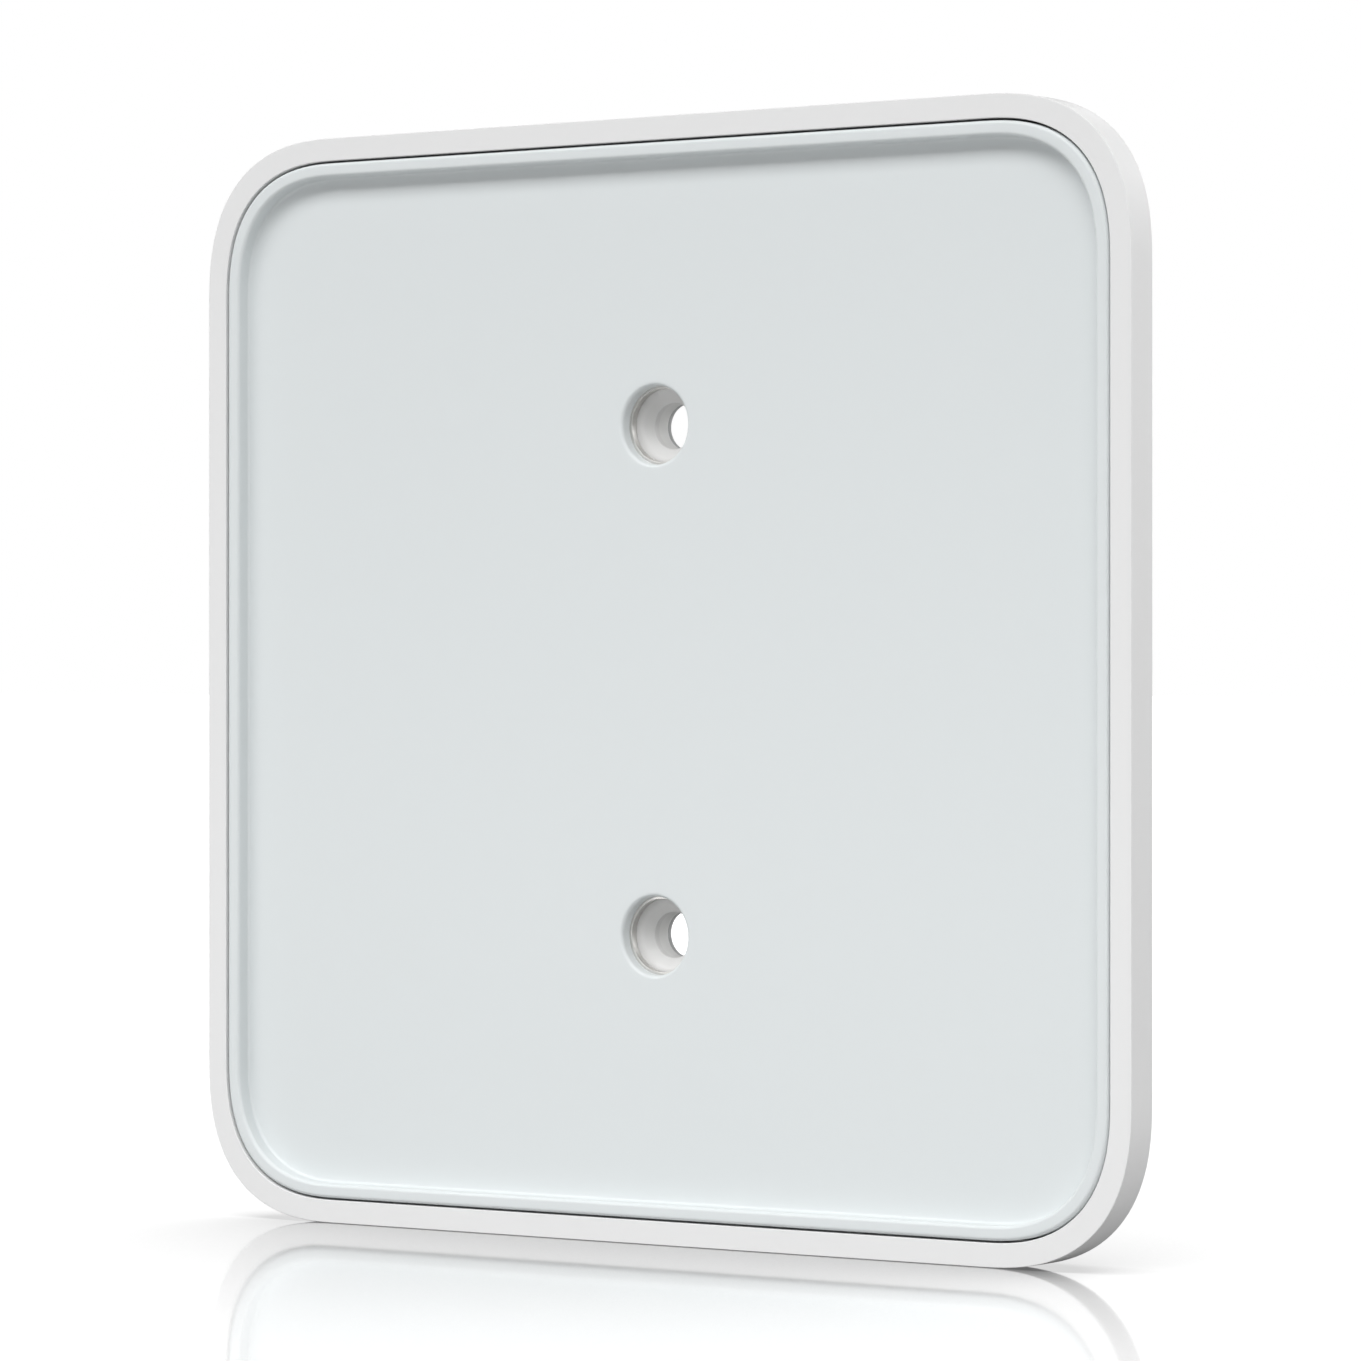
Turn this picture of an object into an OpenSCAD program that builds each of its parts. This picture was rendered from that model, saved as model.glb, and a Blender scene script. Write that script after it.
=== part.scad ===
// Square mounting plate for a ceiling access point.
// It stands upright: X to the right, Z up, the front faces -Y, and the wall or ceiling is the plane Y = 0.
// Every layer is drawn flat on the wall plane, growing towards the front, and is stood up at the end.

/* [Outline] */
// Outer side of the square
side = 132; // [110:1:200]
// How far from each outer corner the rounding starts
corner = 19.6; // [16:0.2:30]
// Corner shape: 2 is a circle, higher is squarer
corner_n = 2.56; // [2:0.02:3.2]
// Straight steps round each corner
corner_steps = 14; // [6:1:20]

/* [Trim frame] */
// Width of the white front edge
trim_w = 2.75; // [2:0.05:4]
// Depth of the visible side wall
trim_d = 4.7; // [3.8:0.1:5.8]
// Thickness of the inner shelf that the tray and the base clamp
shelf_t = 1.4; // [1:0.1:1.8]
// How far the shelf reaches in from the front opening
shelf_w = 2.85; // [2:0.05:3.6]

/* [Tray] */
// Open gap between the tray and the trim
seam = 0.25; // [0.2:0.05:0.6]
// Width of the raised lip
lip_w = 1.7; // [1.4:0.05:3]
// Depth of the recess that the access point sits in
recess = 2; // [1.5:0.1:2.5]
// Thickness of the floor
tray_t = 1.5; // [1.2:0.1:2.5]
// Round on the outer edge of the lip
lip_round = 0.45; // [0.1:0.05:0.5]
// Round on the inner edge of the lip
lip_fillet = 0.45; // [0.2:0.05:0.7]
// Fillet where the lip meets the floor
floor_fillet = 0.35; // [0.2:0.05:0.8]

/* [Layers behind the tray] */
// Thickness of the steel keeper
keeper_t = 1; // [0.6:0.1:2]
// How far the keeper stands in from the outer side
keeper_inset = 9; // [8:0.5:12]
// Thickness of the base at its bosses and its outer wall
base_t = 2.4; // [2.2:0.1:4]
// Thickness of the base's deck between its ribs
deck_t = 1.4; // [1:0.1:1.8]
// How far the base reaches out under the trim's shelf
clamp_w = 1.6; // [1:0.1:2.4]
// Thickness of the rear cover
cover_t = 1.9; // [1.6:0.1:4]
// Thickness of the pad against the wall
pad_t = 0.7; // [0.4:0.1:2]
// Thickness of the seam gasket
gasket_t = 0.4; // [0.3:0.05:0.6]

/* [Wall screws] */
// Distance between the two screw holes
hole_spacing = 60; // [45:0.5:75]
// Diameter of the screw hole
hole_d = 5.5; // [4:0.1:6.5]
// Diameter of the countersink's mouth, and of the hole in the keeper
head_d = 8.6; // [7.2:0.1:9]
// Diameter of the hole in the tray
tray_hole_d = 9.3; // [9:0.1:12]
// Round on the edge of the hole in the tray
hole_round = 0.45; // [0.1:0.05:0.8]

/* [Assembly screws] */
// Thread diameter
screw_d = 2.5; // [2:0.1:3]
// Head diameter
screw_head_d = 4.6; // [4:0.1:5.2]
// Distance from the keeper's edge to the outer row of screws
screw_edge = 7; // [6:0.5:12]
// Wall round the thread in the tray's bosses
boss_wall = 1.35; // [1:0.05:1.8]
// How far a boss reaches into the base
boss_reach = 1.6; // [1:0.1:1.8]
// Plastic left over the tip of a screw
tip_skin = 0.7; // [0.5:0.05:1]

/* [Ribs] */
// Wall of the base round the pocket behind its deck
pocket_wall = 1; // [0.8:0.1:2]
// Thickness of the ribs under the deck
rib_w = 1.2; // [0.8:0.1:2]
// Ribs each way, counted from the middle to one side
rib_count = 3; // [1:1:6]
// Width of the cover's locating rib
locator_w = 1.5; // [1:0.1:3]
// Height of the cover's locating rib
locator_h = 0.7; // [0.4:0.1:0.8]

/* [Hidden] */
fit = 0.2;            // clearance between pieces that drop into each other
screw_gap = 0.15;     // clearance round a screw where it passes freely
end_gap = 0.05;       // gap at the end of a boss or a screw, so that the plates meet first
through = 1;          // how far a cut runs past the face that it opens
arc_steps = 5;        // straight steps in each round of the lip
gasket_gap = 0.1;     // gap between the gasket and the trim's wall
cover_reveal = 0.4;   // how far the cover stands in from the base's edge
pad_reveal = 2.2;     // how far the pad stands in from the cover's edge
pad_hole_gap = 0.8;   // gap in the pad round a screw head
socket_wall = 1.2;    // wall of the base round a boss of the tray
hole_wall = 3;        // wall of the base round a wall screw's countersink
rib_pitch = 17.5;     // distance between ribs
head_rim = 0.25;      // straight rim of an assembly screw's head
driver_w = 0.6;       // width of a slot of the cross recess
driver_l = 2.6;       // length of a slot of the cross recess
driver_h = 0.8;       // depth of the cross recess
tip_ratio = 0.4;      // a screw's end diameter over its thread diameter

// heights above the wall plane
z_cover = pad_t;
z_base = z_cover + cover_t;
z_deck = z_base + base_t;
z_keeper = z_deck + keeper_t;
z_floor = z_keeper + tray_t;
z_face = z_floor + recess;
z_shelf = z_face - trim_d;
z_gasket = z_shelf + shelf_t;
z_lip = z_gasket + gasket_t;
z_pocket = z_deck - deck_t;
z_socket = z_deck - boss_reach;
z_tip = z_floor - tip_skin;

// half widths of the outlines, from the outside in
w_trim = side / 2;
w_opening = w_trim - trim_w;
w_lip = w_opening - seam;
w_wall = w_lip - lip_w;
w_shelf = w_opening - shelf_w;
w_core = w_shelf - fit;
w_base = w_shelf + clamp_w;
w_cover = w_base - cover_reveal;
w_pad = w_cover - pad_reveal;
w_pocket = w_core - pocket_wall;
w_locator = w_pocket - fit;
w_ribs = w_locator - locator_w - fit;
w_keeper = w_trim - keeper_inset;
w_screws = w_keeper - screw_edge;

boss_d = screw_d + 2 * boss_wall;
socket_d = boss_d + 2 * fit;
free_d = screw_d + 2 * screw_gap;

// eight assembly screws, two along each side, and two wall screws
screw_places = [for (a = [-1, 1], b = [-1, 1]) each [[a * w_screws, b * w_screws / 2], [a * w_screws / 2, b * w_screws]]];
hole_places = [for (a = [-1, 1]) [0, a * hole_spacing / 2]];

$fn = 64;

// ---------- outlines ----------

// a point of the first quadrant's corner, for an outline of half width w
function corner_point(w, t) =
    let (r = max(corner - (w_trim - w), 2))
    [w - r + r * pow(cos(t), 2 / corner_n), w - r + r * pow(sin(t), 2 / corner_n)];

function quarter_turns(p, q) = q == 0 ? p : quarter_turns([-p.y, p.x], q - 1);

// the rounded square of half width w; all outlines share their corners' centres
function outline(w) =
    [for (q = [0:3], i = [0:corner_steps]) quarter_turns(corner_point(w, 90 * i / corner_steps), q)];

// points of an arc in the plane of half width and height
function arc(centre, r, from, to) =
    [for (i = [0:arc_steps]) let (t = from + (to - from) * i / arc_steps) centre + r * [cos(t), sin(t)]];

module slab(w, low, high) {
    translate([0, 0, low])
        linear_extrude(high - low)
            polygon(outline(w));
}

// a closed solid through [half width, height] levels, from the lowest up
module lofted(levels) {
    n = 4 * (corner_steps + 1);
    last = (len(levels) - 1) * n;
    points = [for (level = levels, p = outline(level.x)) [p.x, p.y, level.y]];
    sides = [for (k = [0:len(levels) - 2], i = [0:n - 1])
        let (a = k * n + i, b = k * n + (i + 1) % n)
        each [[a, a + n, b + n], [a, b + n, b]]];
    underside = [for (i = [0:n - 1]) i];
    lid = [for (i = [n - 1:-1:0]) last + i];
    polyhedron(points, concat(sides, [underside, lid]));
}

// ---------- posts and holes ----------

module at(places) {
    for (p = places)
        translate([p.x, p.y, 0])
            children();
}

module post(d, low, high) {
    translate([0, 0, low])
        cylinder(d = d, h = high - low);
}

// a hole from the keeper up to the floor, with its upper edge rounded over
module rounded_hole(d, round) {
    r = d / 2;
    edge = arc([r + round, z_floor - round], round, 180, 90);
    rotate_extrude()
        polygon(concat([[0, z_keeper - through], [r, z_keeper - through]], edge,
                       [[r + round, z_floor + through], [0, z_floor + through]]));
}

// a through hole from the wall side, with a 90 degree countersink that opens at the deck
module countersunk_hole() {
    r = hole_d / 2;
    mouth = head_d / 2;
    rotate_extrude()
        polygon([[0, z_base - through], [r, z_base - through], [r, z_deck - (mouth - r)], [mouth, z_deck],
                 [mouth, z_deck + through], [0, z_deck + through]]);
}

// an assembly screw's head, or its seat in the cover, down to a shank of diameter d
module screw_head(d, start) {
    r = screw_head_d / 2;
    low = z_cover + head_rim;
    rotate_extrude()
        polygon([[0, start], [r, start], [r, low], [d / 2, low + r - d / 2], [0, low + r - d / 2]]);
}

// stands a flat layer up, so that its front faces -Y
module upright() {
    rotate([90, 0, 0])
        children();
}

// ---------- sub-parts ----------

// White outer frame: a square rim with a shelf inside, which the tray and the base clamp
module trim_frame() {
    color("#f4f4f4")
        upright()
            difference() {
                slab(w_trim, z_shelf, z_face);
                slab(w_opening, z_gasket, z_face + through);
                slab(w_shelf, z_shelf - through, z_gasket + through);
            }
}

// Dark rubber ring on the trim's shelf; it closes the seam from behind
module seam_gasket() {
    color("#4a4c4d")
        upright()
            difference() {
                slab(w_opening - gasket_gap, z_gasket, z_lip);
                slab(w_shelf + fit, z_gasket - through, z_lip + through);
            }
}

// The tray's lip and floor, without its holes and bosses
module tray_shell() {
    difference() {
        union() {
            lofted(concat([[w_lip, z_lip]], arc([w_lip - lip_round, z_face - lip_round], lip_round, 0, 90)));
            slab(w_core, z_keeper, z_floor);
        }
        lofted(concat(arc([w_wall - floor_fillet, z_floor + floor_fillet], floor_fillet, 270, 360),
                      arc([w_wall + lip_fillet, z_face - lip_fillet], lip_fillet, 180, 90),
                      [[w_wall + lip_fillet, z_face + through]]));
        if (z_lip < z_keeper)
            slab(w_core, z_lip - through, z_keeper);
    }
}

// Pale grey tray: raised lip, recess for the access point, and bosses behind for the screws
module front_tray() {
    color("#dde1e2")
        upright()
            difference() {
                union() {
                    tray_shell();
                    at(screw_places)
                        post(boss_d, z_socket + end_gap, z_keeper + tray_t / 2);
                }
                at(hole_places)
                    rounded_hole(tray_hole_d, hole_round);
                at(screw_places)
                    post(screw_d, z_socket - through, z_tip + end_gap);
            }
}

// Zinc-plated steel sheet that the access point's magnets pull on
module keeper_plate() {
    color("#b4b2ab")
        upright()
            difference() {
                slab(w_keeper, z_deck, z_keeper);
                at(screw_places)
                    post(socket_d, z_deck - through, z_keeper + through);
                at(hole_places)
                    post(head_d, z_deck - through, z_keeper + through);
            }
}

// Ribs under the deck, clear of the cover's locating rib
module deck_ribs() {
    length = 2 * w_ribs;
    intersection() {
        slab(w_ribs, z_base, z_pocket + deck_t / 2);
        for (i = [-rib_count:rib_count], turn = [0, 90])
            rotate([0, 0, turn])
                translate([i * rib_pitch - rib_w / 2, -length / 2, z_base])
                    cube([rib_w, length, z_deck - z_base]);
    }
}

// White base: carries the wall screws' countersinks and clamps the trim from behind
module base_plate() {
    color("#efefee")
        upright()
            difference() {
                union() {
                    difference() {
                        union() {
                            slab(w_base, z_base, z_shelf);
                            slab(w_core, z_base, z_deck);
                        }
                        slab(w_pocket, z_base - through, z_pocket);
                        if (z_shelf > z_deck)
                            slab(w_core, z_deck, z_shelf + through);
                    }
                    deck_ribs();
                    at(screw_places)
                        post(socket_d + 2 * socket_wall, z_base, z_deck);
                    at(hole_places)
                        post(head_d + 2 * hole_wall, z_base, z_deck);
                }
                at(hole_places)
                    countersunk_hole();
                at(screw_places) {
                    post(socket_d, z_socket, z_deck + through);
                    post(free_d, z_base - through, z_socket + through);
                }
            }
}

// Flat cover that closes the base from behind
module rear_cover() {
    color("#e4e4e2")
        upright()
            difference() {
                union() {
                    slab(w_cover, z_cover, z_base);
                    difference() {
                        slab(w_locator, z_cover, z_base + locator_h);
                        slab(w_locator - locator_w, z_base, z_base + locator_h + through);
                    }
                }
                at(hole_places)
                    post(hole_d, z_cover - through, z_base + through);
                at(screw_places) {
                    post(free_d, z_cover - through, z_base + through);
                    screw_head(free_d, z_cover - through);
                }
            }
}

// Soft pad between the cover and the wall
module wall_pad() {
    color("#8f9294")
        upright()
            difference() {
                slab(w_pad, 0, z_cover);
                at(hole_places)
                    post(hole_d, -through, z_cover + through);
                at(screw_places)
                    post(screw_head_d + 2 * pad_hole_gap, -through, z_cover + through);
            }
}

// One countersunk thread-forming screw with a cross recess; the thread is drawn as its outer cylinder
module assembly_screw() {
    r = screw_d / 2;
    difference() {
        union() {
            screw_head(screw_d, z_cover);
            post(screw_d, z_cover + head_rim, z_tip - r);
            translate([0, 0, z_tip - r])
                cylinder(r1 = r, r2 = r * tip_ratio, h = r);
        }
        for (turn = [0, 90])
            rotate([0, 0, turn])
                translate([-driver_l / 2, -driver_w / 2, z_cover - through])
                    cube([driver_l, driver_w, through + driver_h]);
    }
}

// Eight screws, driven from behind, that hold the whole stack together
module assembly_screws() {
    color("#a9abad")
        upright()
            at(screw_places)
                assembly_screw();
}

trim_frame();
seam_gasket();
front_tray();
keeper_plate();
base_plate();
rear_cover();
wall_pad();
assembly_screws();
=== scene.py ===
import math

import bmesh
import bpy
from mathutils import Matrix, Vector
from mathutils.geometry import delaunay_2d_cdt


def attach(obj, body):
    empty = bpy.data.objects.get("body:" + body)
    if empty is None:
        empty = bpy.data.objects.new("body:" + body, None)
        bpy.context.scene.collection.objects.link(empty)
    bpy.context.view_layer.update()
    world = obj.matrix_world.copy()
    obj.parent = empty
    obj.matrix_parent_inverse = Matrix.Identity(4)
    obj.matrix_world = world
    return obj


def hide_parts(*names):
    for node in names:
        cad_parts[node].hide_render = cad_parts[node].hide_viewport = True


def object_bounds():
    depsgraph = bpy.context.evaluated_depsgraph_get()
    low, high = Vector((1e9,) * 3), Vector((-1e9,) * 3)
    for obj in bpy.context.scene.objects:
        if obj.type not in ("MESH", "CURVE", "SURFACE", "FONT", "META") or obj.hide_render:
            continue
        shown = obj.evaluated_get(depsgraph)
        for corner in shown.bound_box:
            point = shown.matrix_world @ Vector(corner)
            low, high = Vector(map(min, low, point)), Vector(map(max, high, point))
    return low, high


# Square mounting plate for a ceiling access point. X is right, Z is up and the front faces -Y.
# Sizes in the dictionaries are in millimetres. A height is a distance from the wall plane, Y = 0.

mm = 0.001

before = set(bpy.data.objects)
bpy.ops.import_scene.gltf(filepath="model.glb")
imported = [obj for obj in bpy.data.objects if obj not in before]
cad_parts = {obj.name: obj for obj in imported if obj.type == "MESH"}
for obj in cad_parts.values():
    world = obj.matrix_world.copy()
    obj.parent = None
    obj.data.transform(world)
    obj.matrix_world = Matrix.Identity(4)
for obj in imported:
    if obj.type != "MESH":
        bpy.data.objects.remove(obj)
cadLow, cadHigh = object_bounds()
print("frame loaded")


cameraValues = {
    "lens": 153.73,
    "place": (0.3936, -0.5646, 0.0),  # metres
    "turn": (90.0, 0.0, 34.983),  # degrees
}


def makeCamera():
    data = bpy.data.cameras.new("productCamera")
    data.lens = cameraValues["lens"]
    camera = bpy.data.objects.new("productCamera", data)
    camera.location = cameraValues["place"]
    camera.rotation_euler = [math.radians(a) for a in cameraValues["turn"]]
    bpy.context.scene.collection.objects.link(camera)
    bpy.context.scene.camera = camera


makeCamera()
print("camera placed")


plate = {
    "half": cadHigh.x / mm,
    "corner": 19.6,  # how far from the outer corner its rounding starts
    "cornerShape": 2.56,  # 2 is a circle, higher is squarer
    "cornerSteps": 30,
    "roundSteps": 6,
    "boreSteps": 72,
}
screwSteps = 40  # points round a screw's hole
wallHoles = [(0, -30), (0, 30)]
screwPlaces = [(a * x, b * z) for x, z in ((50, 25), (25, 50)) for a in (-1, 1) for b in (-1, 1)]


def outlineAt(half):
    r = max(plate["corner"] - (plate["half"] - half), 2)
    power = 2 / plate["cornerShape"]
    points = []
    for quarter in range(4):
        for i in range(plate["cornerSteps"] + 1):
            t = math.pi / 2 * i / plate["cornerSteps"]
            x = half - r + r * abs(math.cos(t)) ** power
            z = half - r + r * abs(math.sin(t)) ** power
            for _ in range(quarter):
                x, z = -z, x
            points.append((x, z))
    return points


def circleAt(place, radius, steps=None):
    steps = steps or plate["boreSteps"]
    turns = [2 * math.pi * i / steps for i in range(steps)]
    return [(place[0] + radius * math.cos(t), place[1] + radius * math.sin(t)) for t in turns]


def softProfile(corners, closed=False):
    # corners are (distance, height, round); the third value of the result rises to 1 halfway round an edge
    points = []
    count = len(corners)
    for i, (x, y, r) in enumerate(corners):
        here = Vector((x, y))
        if not r or (not closed and i in (0, count - 1)):
            points.append((x, y, 0.0))
            continue
        back = (Vector(corners[i - 1][:2]) - here).normalized()
        ahead = (Vector(corners[(i + 1) % count][:2]) - here).normalized()
        opening = back.angle(ahead)
        centre = here + (back + ahead).normalized() * r / math.sin(opening / 2)
        start = here + back * r / math.tan(opening / 2) - centre
        end = here + ahead * r / math.tan(opening / 2) - centre
        bend = start.angle(end)
        for k in range(plate["roundSteps"] + 1):
            f = k / plate["roundSteps"]
            p = centre + (math.sin((1 - f) * bend) * start + math.sin(f * bend) * end) / math.sin(bend)
            points.append((p.x, p.y, math.sin(f * math.pi)))
    return points


def addLoop(body, flat, height, edge=0.0):
    layer = body.verts.layers.float["edge"]
    made = []
    for x, z in flat:
        v = body.verts.new((x * mm, -height * mm, z * mm))
        v[layer] = edge
        made.append(v)
    return made


def addWalls(body, loops, closed=False):
    pairs = list(zip(loops, loops[1:])) + ([(loops[-1], loops[0])] if closed else [])
    for a, b in pairs:
        for i in range(len(a)):
            j = (i + 1) % len(a)
            body.faces.new((a[i], a[j], b[j], b[i]))


def sweep(body, corners, closed=False):
    profile = softProfile(corners, closed)
    addWalls(body, [addLoop(body, outlineAt(w), h, edge) for w, h, edge in profile], closed)


def bore(body, place, corners, steps=None):
    profile = softProfile(corners)
    addWalls(body, [addLoop(body, circleAt(place, r, steps), h, edge) for r, h, edge in profile])


def flatFace(body, height, loops):
    # fills the flat region between the first loop and the others, which are round holes in it
    corners, edges, owner = [], [], []
    for k, loop in enumerate(loops):
        first = len(corners)
        corners += [Vector(p) for p in loop]
        edges += [(first + i, first + (i + 1) % len(loop)) for i in range(len(loop))]
        owner += [k] * len(loop)
    found, _, faces, _, _, _ = delaunay_2d_cdt(corners, edges, [], 1, 1e-5)
    made = addLoop(body, [(p.x, p.y) for p in found], height)
    for face in faces:
        touched = {owner[i] for i in face}
        if len(touched) > 1 or touched == {0}:  # a triangle with all corners on one hole lies inside it
            body.faces.new([made[i] for i in face])


def startBody():
    body = bmesh.new()
    body.verts.layers.float.new("edge")
    return body


def plainCopy(source, name):
    # the evaluated mesh as a plain object of its own
    depsgraph = bpy.context.evaluated_depsgraph_get()
    mesh = bpy.data.meshes.new_from_object(source.evaluated_get(depsgraph))
    mesh.name = name
    piece = bpy.data.objects.new(name, mesh)
    bpy.context.scene.collection.objects.link(piece)
    return piece


normalValues = {"sharpAngle": 32, "weight": 80, "mergeAt": 1e-6}  # degrees, share, metres


def finishPiece(body, name, material):
    bmesh.ops.remove_doubles(body, verts=body.verts, dist=normalValues["mergeAt"])
    bmesh.ops.recalc_face_normals(body, faces=body.faces)
    openEdges = sum(1 for e in body.edges if len(e.link_faces) != 2)
    mesh = bpy.data.meshes.new(name + "Draft")
    body.to_mesh(mesh)
    body.free()
    mesh.shade_smooth()
    mesh.set_sharp_from_angle(angle=math.radians(normalValues["sharpAngle"]))
    draft = bpy.data.objects.new(name + "Draft", mesh)
    bpy.context.scene.collection.objects.link(draft)
    even = draft.modifiers.new("evenNormals", "WEIGHTED_NORMAL")
    even.keep_sharp = True
    even.weight = normalValues["weight"]
    piece = plainCopy(draft, name)
    bpy.data.objects.remove(draft)
    piece.data.materials.clear()
    piece.data.materials.append(material)
    print(name, "built:", len(piece.data.polygons), "faces,", openEdges, "open edges")
    return piece


def newGroup(name, inputs, outputs):
    group = bpy.data.node_groups.new(name, "ShaderNodeTree")
    for label, kind, value in inputs:
        socket = group.interface.new_socket(label, in_out="INPUT", socket_type=kind)
        if value is not None:
            socket.default_value = value
    for label, kind in outputs:
        group.interface.new_socket(label, in_out="OUTPUT", socket_type=kind)
    start = group.nodes.new("NodeGroupInput")
    end = group.nodes.new("NodeGroupOutput")
    return group, start, end


def addNode(tree, kind, **values):
    node = tree.nodes.new(kind)
    for key, value in values.items():
        if key.startswith("in"):
            node.inputs[int(key[2:])].default_value = value
        else:
            setattr(node, key, value)
    return node


def mathNode(tree, operation, a, b, clamp=False):
    node = tree.nodes.new("ShaderNodeMath")
    node.operation = operation
    node.use_clamp = clamp
    for socket, value in zip(node.inputs, (a, b)):
        if isinstance(value, (int, float)):
            socket.default_value = value
        else:
            tree.links.new(value, socket)
    return node.outputs[0]


def noise(tree, vector, scale, detail=2.0, rough=0.5):
    node = tree.nodes.new("ShaderNodeTexNoise")
    tree.links.new(vector, node.inputs["Vector"])
    if isinstance(scale, (int, float)):
        node.inputs["Scale"].default_value = scale
    else:
        tree.links.new(scale, node.inputs["Scale"])
    node.inputs["Detail"].default_value = detail
    node.inputs["Roughness"].default_value = rough
    return node.outputs["Fac"]


def makeMouldGrain():
    # fine texture that a moulding tool leaves: soft grains with scattered pits
    group, start, end = newGroup(
        "mouldGrain",
        [
            ("Vector", "NodeSocketVector", None), ("Grain size", "NodeSocketFloat", 0.25),
            ("Pits", "NodeSocketFloat", 0.3),
        ],
        [("Height", "NodeSocketFloat"), ("Gloss change", "NodeSocketFloat")],
    )
    scale = mathNode(group, "DIVIDE", 1000.0, start.outputs["Grain size"])
    grains = noise(group, start.outputs["Vector"], scale, 3.0, 0.55)
    cells = addNode(group, "ShaderNodeTexVoronoi", feature="SMOOTH_F1")
    group.links.new(start.outputs["Vector"], cells.inputs["Vector"])
    group.links.new(mathNode(group, "MULTIPLY", scale, 0.45), cells.inputs["Scale"])
    pits = mathNode(group, "MULTIPLY", cells.outputs["Distance"], start.outputs["Pits"])
    group.links.new(mathNode(group, "ADD", grains, pits), end.inputs["Height"])
    drift = noise(group, start.outputs["Vector"], 90.0, 2.0, 0.5)
    slow = mathNode(group, "MULTIPLY", drift, 0.7)
    mixed = mathNode(group, "ADD", slow, mathNode(group, "MULTIPLY", grains, 0.3))
    group.links.new(mathNode(group, "SUBTRACT", mixed, 0.5), end.inputs["Gloss change"])
    return group


def makeHandling():
    # one mask for light dust, stronger where a surface faces up, and one for worn edges, painted lighter, so
    # it is also a painted highlight along every rounded edge
    group, start, end = newGroup(
        "handlingMarks",
        [
            ("Vector", "NodeSocketVector", None), ("Edge", "NodeSocketFloat", 0.0),
            ("Amount", "NodeSocketFloat", 0.3),
        ],
        [("Dust", "NodeSocketFloat"), ("Worn edge and highlight", "NodeSocketFloat")],
    )
    specks = noise(group, start.outputs["Vector"], 1400.0, 4.0, 0.7)
    patches = noise(group, start.outputs["Vector"], 45.0, 3.0, 0.6)
    both = mathNode(group, "MULTIPLY", specks, patches)
    ramp = addNode(group, "ShaderNodeMapRange", in1=0.22, in2=0.45, in3=0.0, in4=1.0)
    group.links.new(both, ramp.inputs[0])
    facing = addNode(group, "ShaderNodeNewGeometry")
    split = addNode(group, "ShaderNodeSeparateXYZ")
    group.links.new(facing.outputs["Normal"], split.inputs[0])
    upward = mathNode(group, "MAXIMUM", split.outputs["Z"], 0.0)
    lifted = mathNode(group, "ADD", mathNode(group, "MULTIPLY", upward, 0.8), 0.2)
    settled = mathNode(group, "MULTIPLY", ramp.outputs[0], lifted)
    dust = mathNode(group, "MULTIPLY", settled, start.outputs["Amount"])
    group.links.new(dust, end.inputs["Dust"])
    rubbed = noise(group, start.outputs["Vector"], 260.0, 3.0, 0.6)
    atEdge = mathNode(group, "MULTIPLY", rubbed, start.outputs["Edge"])
    wornAndHighlight = mathNode(group, "MULTIPLY", atEdge, start.outputs["Amount"])
    group.links.new(wornAndHighlight, end.inputs["Worn edge and highlight"])
    return group


mouldGrain = makeMouldGrain()
handlingMarks = makeHandling()
print("shader groups made")


def startMaterial(name, roughness, metallic=0.0, specular=0.5):
    material = bpy.data.materials.new(name)
    material.use_nodes = True
    tree = material.node_tree
    shader = tree.nodes["Principled BSDF"]
    shader.inputs["Roughness"].default_value = roughness
    shader.inputs["Metallic"].default_value = metallic
    shader.inputs["Specular IOR Level"].default_value = specular
    place = tree.nodes.new("ShaderNodeTexCoord").outputs["Object"]
    return material, tree, shader, place


def blendColours(tree, factor, first, second):
    node = tree.nodes.new("ShaderNodeMix")
    node.data_type = "RGBA"
    if isinstance(factor, (int, float)):
        node.inputs[0].default_value = factor
    else:
        tree.links.new(factor, node.inputs[0])
    for socket, value in ((node.inputs[6], first), (node.inputs[7], second)):
        if isinstance(value, tuple):
            socket.default_value = (*value, 1.0)
        else:
            tree.links.new(value, socket)
    return node.outputs[2]


def bumpFrom(tree, shader, height, strength, distance):
    node = tree.nodes.new("ShaderNodeBump")
    node.inputs["Strength"].default_value = strength
    node.inputs["Distance"].default_value = distance * mm
    tree.links.new(height, node.inputs["Height"])
    tree.links.new(node.outputs[0], shader.inputs["Normal"])


dustColour = (0.62, 0.61, 0.59)
glossSpread = {"grain": 0.12, "dust": 0.25}  # how far each one moves the roughness


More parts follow.
